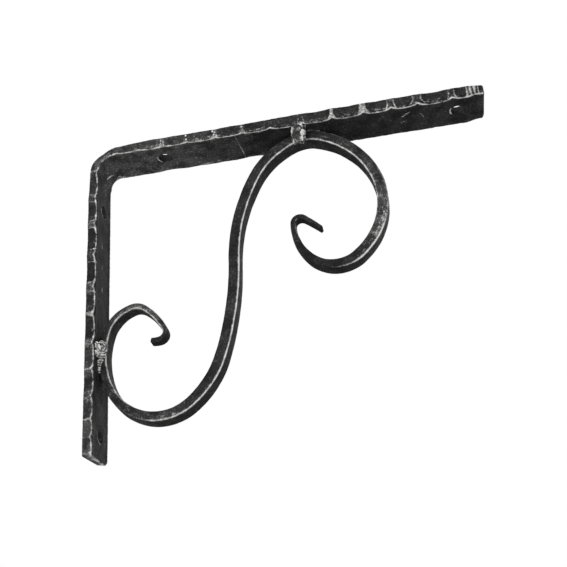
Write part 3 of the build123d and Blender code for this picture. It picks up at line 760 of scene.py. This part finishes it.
scroll = {
    "thickness": 6.0, "depth": 10.0, "setBack": 1.0, "heading": 88.3, "arris": 0.7, "step": 0.6,
    # radius and turn of each arc, from the stem out
    "upperArcs": ((111.5, 28.0), (45.5, 38.5), (19.5, 42.0), (48.5, 68.0), (43.0, 53.5),
                  (18.5, 85.0), (31.5, 46.0), (4.0, 127.5), (139.0, 5.0)),
    "lowerArcs": ((193.5, 16.0), (52.0, 34.0), (25.5, 62.0), (31.0, 44.5), (48.5, 39.0),
                  (19.0, 56.5), (8.0, 54.0), (35.5, 28.0), (4.0, 105.0), (13.5, 20.5)),
    # thickness and depth at each tip, and the length over which each is drawn out
    "upperTip": (1.6, 5.8), "upperTaper": (73.5, 113.5),
    "lowerTip": (2.5, 5.8), "lowerTaper": (160.0, 55.0),
    # points across the thickness, the depth and each arris, and how far the sides crown
    "sidePoints": 9, "facePoints": 12, "arrisPoints": 3, "sideCrown": 0.04, "faceCrown": 0.05,
    # drawn out by hand, so never quite even: height of each wave, then size and height of the hammer's flats
    "thickWave": 0.09, "deepWave": 0.12, "sway": 0.12, "flats": ((11.0, 0.12), (3.5, 0.04)),
    # the rings that round off a tip: scale of the thickness and of the depth, distance in
    "tipRings": ((0.5, 0.62, 0.0), (0.8, 0.88, 0.35)),
    # silver, by places on its centre line: x, z, the arris on its left hand going up the stem, the one on its
    # right hand, and how much is dragged over the front face, which also lays a pale haze there that is partly painted
    # sheen
    "rub": (
        (38, -20, 0.2, 0.2, 0.12), (41, -14, 0.75, 0.2, 0.2), (36, -5, 0.7, 0.3, 0.62), (27, 2, 0.75, 0.3, 0.55),
        (17, 0, 0.7, 0.25, 0.32), (10, -8, 0.8, 0.25, 0.3), (8, -20, 0.72, 0.25, 0.3), (10, -35, 0.68, 0.25, 0.28),
        (18, -50, 0.6, 0.3, 0.26), (26, -59, 0.1, 0.4, 0.28), (33, -64, 0.1, 0.7, 0.42), (44, -64, 0.1, 0.75, 0.36),
        (58, -56, 0.1, 0.95, 0.12), (71, -36, 0.1, 0.95, 0.12), (79, -8, 0.1, 0.95, 0.16), (81, 5, 0.1, 1.0, 0.14),
        (83, 31, 0.1, 0.95, 0.12), (89, 57, 0.1, 0.95, 0.1), (95, 72, 0.1, 1.0, 0.12), (108, 87, 0.1, 0.85, 0.22),
        (119, 92, 0.3, 0.75, 0.25), (135, 91, 0.5, 0.75, 0.28), (150, 80, 0.25, 0.85, 0.22), (158, 68, 0.4, 0.8, 0.26),
        (163, 50, 0.5, 0.55, 0.5), (163, 34, 0.5, 0.35, 0.72), (161, 26, 0.9, 0.2, 0.62), (156, 18, 1.0, 0.1, 0.5),
        (148, 11, 1.0, 0.1, 0.26), (141, 7, 0.7, 0.1, 0.1), (132, 5, 0.3, 0.1, 0.04), (122, 10, 0.1, 0.1, 0.03),
        (114, 20, 0.15, 0.15, 0.03), (112, 33, 0.2, 0.45, 0.08), (118, 42, 0.2, 0.2, 0.08)),
    # width of the line on an arris, strength of the brushed silver, and the dust where there is no silver
    "arrisWidth": 0.58, "faceBrush": 0.78, "sideBrush": 0.3, "arrisBrush": 0.4, "dullSide": 0.55,
    "backRub": 0.5, "backBrush": 0.12, "leastDust": 0.16,
}


def walkArcs(heading, arcs, tip, taper):  # x, z, heading, thickness, depth from the stem out
    total = sum(r * math.radians(a) for r, a in arcs)
    x, z, walked, rows = 0.0, 0.0, 0.0, []
    for radius, turn in arcs:
        steps = max(4, int(radius * math.radians(turn) / scroll["step"]))
        centreX = x + radius * math.sin(math.radians(heading))
        centreZ = z - radius * math.cos(math.radians(heading))
        for k in range(1, steps + 1):
            now = heading - turn * k / steps
            left = total - walked - radius * math.radians(turn) * k / steps
            thin = scroll["thickness"] + (tip[0] - scroll["thickness"]) * max(0.0, 1 - left / taper[0])
            shallow = scroll["depth"] + (tip[1] - scroll["depth"]) * max(0.0, 1 - left / taper[1])
            rows.append((centreX - radius * math.sin(math.radians(now)),
                         centreZ + radius * math.cos(math.radians(now)), now, thin, shallow))
        x, z = rows[-1][:2]
        walked += radius * math.radians(turn)
        heading -= turn
    return np.array(rows)


def scrollLine():  # both halves as one line, lower tip to upper tip
    upper = walkArcs(scroll["heading"], scroll["upperArcs"], scroll["upperTip"], scroll["upperTaper"])
    lower = walkArcs(scroll["heading"] + 180, scroll["lowerArcs"], scroll["lowerTip"], scroll["lowerTaper"])
    # the crown touches the arm, the lower curl's cheek the leg
    crown = (upper[:, 1] + upper[:, 3] / 2 * np.cos(np.radians(upper[:, 2]))).max()
    cheek = (lower[:, 0] - lower[:, 3] / 2 * np.sin(np.radians(lower[:, 2]))).min()
    lower = lower[::-1].copy()
    lower[:, 2] += 180
    start = np.array([[0, 0, scroll["heading"], scroll["thickness"], scroll["depth"]]])
    line = np.concatenate([lower, start, upper])
    line[:, 0] += bar["thickness"] - cheek
    line[:, 1] += shelfZ - bar["thickness"] - crown
    return line


def scrollSection(thick, deep):  # across and along y, for every step of the line
    arris = np.minimum(scroll["arris"], thick * 0.2)
    side, face = np.linspace(-1, 1, scroll["sidePoints"]), np.linspace(-1, 1, scroll["facePoints"])
    corner = np.linspace(0, math.pi / 2, scroll["arrisPoints"] + 2)[1:-1]
    u, v = [], []
    for uSign, vSign in ((1, -1), (1, 1), (-1, 1), (-1, -1)):  # each arris, then the side that follows it
        toFace = uSign * vSign < 0
        for t in (corner if toFace else corner[::-1]):
            u.append(uSign * (thick / 2 - arris) + uSign * arris * math.sin(t))
            v.append(vSign * (deep / 2 - arris) + vSign * arris * math.cos(t))
        for t in (face if toFace else side)[::-vSign]:
            if toFace:
                u.append(uSign * (thick / 2 + scroll["faceCrown"] * (1 - t * t)))
                v.append(t * (deep / 2 - arris))
            else:
                u.append(t * (thick / 2 - arris))
                v.append(vSign * (deep / 2 + scroll["sideCrown"] * (1 - t * t)))
    return np.array(u).T, np.array(v).T


def makeScroll():
    x, z, heading, thick, deep = scrollLine().T
    run = np.concatenate([[0], np.cumsum(np.hypot(np.diff(x), np.diff(z)))])
    angle = np.radians(heading)
    outX, outZ = -np.sin(angle), np.cos(angle)
    thick = thick + scroll["thickWave"] * roughly(run * 0.42, 3)
    deep = deep + scroll["deepWave"] * roughly(run * 0.31, 8)
    sway = scroll["sway"] * roughly(run * 0.12, 4)
    u, v = scrollSection(thick, deep)
    around, last = u.shape[1], len(run) - 1
    rings = [(0, *ring) for ring in scroll["tipRings"]] + [(i, 1, 1, 0.0) for i in range(1, last)]
    rings += [(last, *ring) for ring in scroll["tipRings"][::-1]]
    points, where = [], []
    for i, scaleU, scaleV, inward in rings:
        j = i + 1 if i == 0 else i - 1
        length = math.hypot(x[j] - x[i], z[j] - z[i])
        cx, cz = x[i] + (x[j] - x[i]) / length * inward, z[i] + (z[j] - z[i]) / length * inward
        points.append(np.stack([cx + outX[i] * u[i] * scaleU, scroll["setBack"] + sway[i] + v[i] * scaleV,
                                cz + outZ[i] * u[i] * scaleU], 1))
        where.append(np.stack([np.full(around, run[i]), u[i] / (thick[i] / 2), v[i] / (deep[i] / 2),
                               np.full(around, thick[i]), np.full(around, deep[i])], 1))
    points, where = np.concatenate(points), np.concatenate(where)
    facet = sum(lumps(points, size, seed) * height for seed, (size, height) in enumerate(scroll["flats"], 5))
    points = points + np.stack([facet, 0 * facet, facet * 0.6], 1)
    points[:, 0] = np.maximum(points[:, 0], bar["thickness"] - 0.2)  # the cheek stays on the leg's face
    faces = loftFaces(len(rings), around)
    faces += [tuple(range(around))[::-1], tuple((len(rings) - 1) * around + j for j in range(around))]
    mesh = meshFrom("sScroll", points, faces, scrollFinish)
    rubScroll(mesh, where, (x, z, run))
    return addPiece("sScroll", mesh, "scroll")


def rubScroll(mesh, where, line):
    run, u, v, thick, deep = where.T
    lineX, lineZ, lineRun = line
    keys = [(lineRun[np.argmin(np.hypot(lineX - x, lineZ - z))], *rest) for x, z, *rest in scroll["rub"]]
    keys = np.array(sorted(keys))
    left, right, over = (np.interp(run, keys[:, 0], keys[:, k]) for k in (1, 2, 3))
    waver = 0.5 + 0.5 * roughly(run * 0.5, 7)
    front = smoothStep(0.2, -0.4, v)
    strength = np.where(u > 0, left, right)
    toArris = np.hypot((1 - np.abs(u)) * thick / 2, (1 - np.abs(v)) * deep / 2)
    edge = fading(toArris, scroll["arrisWidth"] + 0.12 * waver + 0.4 * over)
    edge = edge * (front * strength * (1.05 + 0.2 * waver) + (1 - front) * scroll["backRub"])
    facing = smoothStep(0.6, 0.95, -v)
    bias = np.where((u > 0) == (left > right), 1.0, scroll["dullSide"])  # more silver towards the bright arris
    brushed = scroll["faceBrush"] * over * facing * bias + scroll["sideBrush"] * over * (1 - facing) * front
    brushed = np.maximum(brushed, scroll["arrisBrush"] * strength * front * fading(toArris, 1.3) * waver)
    brushed = np.maximum(brushed, (1 - front) * scroll["backBrush"])
    writeMask(mesh, "edgeRub", edge)
    writeMask(mesh, "brushRub", brushed)
    # dust over the front face, partly a painted sheen where the face is lit
    writeMask(mesh, "dustAndPaintedLight", scroll["leastDust"] + over * (0.35 + 0.65 * facing))
    writeFlow(mesh, np.stack([run, u * thick / 2, v * deep / 2], 1))


sScroll = makeScroll()
print("scroll made:", len(sScroll.data.polygons), "faces")


# the two weld beads

# bright: silver streaks by place across the bead, width and strength; over: silver in the hollows and on the drops,
# raised on the lower bead as painted light where the leg shades it
welds = {
    "upperWeld": {"node": "upper_weld", "seed": 3, "drops": 60, "size": (0.7, 1.9), "voxel": 0.14, "swirl": 0.0,
                  "bright": ((0.76, 0.15, 1.6), (0.10, 0.10, 1.0), (0.45, 0.08, 0.4)), "over": (0.05, 0.75)},
    # the lower bead's over and streaks are set high partly as painted light, to lighten it in the leg's shade
    "lowerWeld": {"node": "lower_weld", "seed": 8, "drops": 64, "size": (0.5, 1.5), "voxel": 0.13, "swirl": 0.3,
                  "bright": ((0.7, 0.4, 1.6), (0.2, 0.4, 1.3)), "over": (0.6, 2.2)},
}
# the same in both beads; dome is how far a drop stands up for its size
beads = {"soften": 0.5, "softenings": 6, "dome": 0.42, "sunk": 0.55, "grain": 0.12, "grainSize": 0.8,
         "swirlPitch": 1.25, "swirlBend": 0.35, "swirlBendSize": 2.5}


def makeWeld(name, look):  # the bead's own solid, made lumpy with drops of metal
    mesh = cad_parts[look["node"]].data.copy()
    mesh.name = name
    piece = addPiece(name, mesh, look["node"])
    remesh = piece.modifiers.new("melt", "REMESH")
    remesh.mode = "VOXEL"
    remesh.voxel_size = look["voxel"] * mm
    soften = piece.modifiers.new("soften", "SMOOTH")
    soften.factor = beads["soften"]
    soften.iterations = beads["softenings"]
    mesh = bakeModifiers(piece)
    points = readPoints(mesh)
    normals = np.zeros(len(mesh.vertices) * 3, np.float32)
    mesh.vertices.foreach_get("normal", normals)
    rng = np.random.default_rng(look["seed"])
    ripple = np.zeros(len(points))
    for _ in range(look["drops"]):
        centre = points[rng.integers(len(points))]
        radius = rng.uniform(*look["size"])
        away = np.linalg.norm(points - centre, axis=1) / radius
        ripple = np.maximum(ripple, np.sqrt(np.clip(1 - away * away, 0, 1)) * radius * beads["dome"])
    middle = points[points[:, 2] > np.quantile(points[:, 2], 0.4)].mean(0)
    fromMiddle = np.linalg.norm(points - middle, axis=1)
    fromMiddle = fromMiddle + beads["swirlBend"] * lumps(points, beads["swirlBendSize"], look["seed"] + 1)
    rings = np.cos(fromMiddle * 2 * math.pi / beads["swirlPitch"])  # left as the bead was wound up
    ripple = ripple + look["swirl"] * rings - beads["sunk"]
    ripple = ripple + beads["grain"] * lumps(points, beads["grainSize"], look["seed"])
    points = writePoints(mesh, points + normals.reshape(-1, 3) * ripple[:, None])
    shadeSmooth(mesh, weldFinish)
    low, high = points.min(0), points.max(0)
    across = (points[:, 0] - low[0]) / (high[0] - low[0]) + 0.03 * roughly(points[:, 2] * 2.2, 4)
    proud = smoothStep(-0.4, 0.1, ripple)
    streak = np.max([strength * fading(across - at, width) for at, width, strength in look["bright"]], 0)
    near, far = look["over"]
    writeMask(mesh, "edgeRub", streak * (0.2 + 0.8 * proud))
    writeMask(mesh, "brushRub", near + (far - near) * proud)
    # dust over each whole bead, set high partly as painted light for the shaded lower bead
    writeMask(mesh, "dustAndPaintedLight", np.ones(len(points)))
    writeFlow(mesh, points[:, [2, 0, 1]])
    return piece


for weldName, weldLook in welds.items():
    weldPiece = makeWeld(weldName, weldLook)
    print(weldName, "made:", len(weldPiece.data.polygons), "faces")


# floor, light and camera

stage = {
    "floorDrop": 0.80, "floorSize": 6.0, "floorTone": (0.86, 0.92), "floorGrain": 6.0, "floorRoughness": 0.9,
    "backdrop": (0.95, 0.95, 0.95, 1), "skyLight": 0.46, "aim": (0.11, 0, 0.02),
    "lamps": (  # name, place, size, watts
        ("keyLamp", (-0.35, -0.95, 0.75), 0.7, 10.0),
        ("sideLamp", (0.95, -0.7, 0.1), 0.8, 1.3),
        ("underLamp", (0.2, -0.5, -0.7), 0.9, 1.3),
        ("backLamp", (0.3, 0.9, 0.5), 0.9, 5.0)),
    "cameraPlace": (0.16494, -0.45847, -0.24718), "cameraTurn": (118.656, 4.144, 9.794),
    "lens": 63.49, "sensor": 36.0, "clipStart": 0.01,
}


def makeFloor():
    bpy.ops.mesh.primitive_plane_add(size=stage["floorSize"], location=(0.1, 0, -stage["floorDrop"]))
    floor = bpy.context.object
    floor.name = "floor"
    material = bpy.data.materials.new("paleFloor")
    material.use_nodes = True
    tree = material.node_tree
    shader = tree.nodes["Principled BSDF"]
    place = node(tree, "ShaderNodeTexCoord").outputs["Object"]
    tone = ramp(tree, noiseAt(tree, place, stage["floorGrain"], 3.0), 0.3, 0.7, *stage["floorTone"])
    colour = node(tree, "ShaderNodeCombineColor", Red=tone, Green=tone, Blue=tone).outputs[0]
    tree.links.new(colour, shader.inputs["Base Color"])
    shader.inputs["Roughness"].default_value = stage["floorRoughness"]
    floor.data.materials.append(material)


def makeWorld():  # soft light, and plain white wherever it is seen
    world = bpy.data.worlds.new("studio")
    bpy.context.scene.world = world
    world.use_nodes = True
    tree = world.node_tree
    tree.nodes.clear()
    path = node(tree, "ShaderNodeLightPath")
    soft = node(tree, "ShaderNodeBackground", Color=stage["backdrop"], Strength=stage["skyLight"])
    white = node(tree, "ShaderNodeBackground", Color=(1, 1, 1, 1), Strength=1.0)
    shown = maths(tree, "MAXIMUM", path.outputs["Is Camera Ray"], path.outputs["Is Glossy Ray"])
    shown = maths(tree, "MAXIMUM", shown, path.outputs["Is Transmission Ray"])
    seen = node(tree, "ShaderNodeMixShader", i0=shown, i1=soft.outputs[0], i2=white.outputs[0])
    tree.links.new(seen.outputs[0], node(tree, "ShaderNodeOutputWorld").inputs["Surface"])


def makeLamps():
    for name, place, size, watts in stage["lamps"]:
        lamp = bpy.data.lights.new(name, "AREA")
        lamp.size = size
        lamp.energy = watts
        lampObject = bpy.data.objects.new(name, lamp)
        lampObject.location = place
        toAim = Vector(stage["aim"]) - Vector(place)
        lampObject.rotation_euler = toAim.to_track_quat("-Z", "Y").to_euler()
        bpy.context.scene.collection.objects.link(lampObject)


def makeCamera():
    camera = bpy.data.cameras.new("camera")
    camera.lens = stage["lens"]
    camera.sensor_width = stage["sensor"]
    camera.clip_start = stage["clipStart"]
    cameraObject = bpy.data.objects.new("camera", camera)
    cameraObject.location = stage["cameraPlace"]
    cameraObject.rotation_euler = [math.radians(a) for a in stage["cameraTurn"]]
    bpy.context.scene.collection.objects.link(cameraObject)
    bpy.context.scene.camera = cameraObject


makeFloor()
makeWorld()
makeLamps()
makeCamera()
bpy.context.scene.view_settings.view_transform = "Standard"
print("stage set")
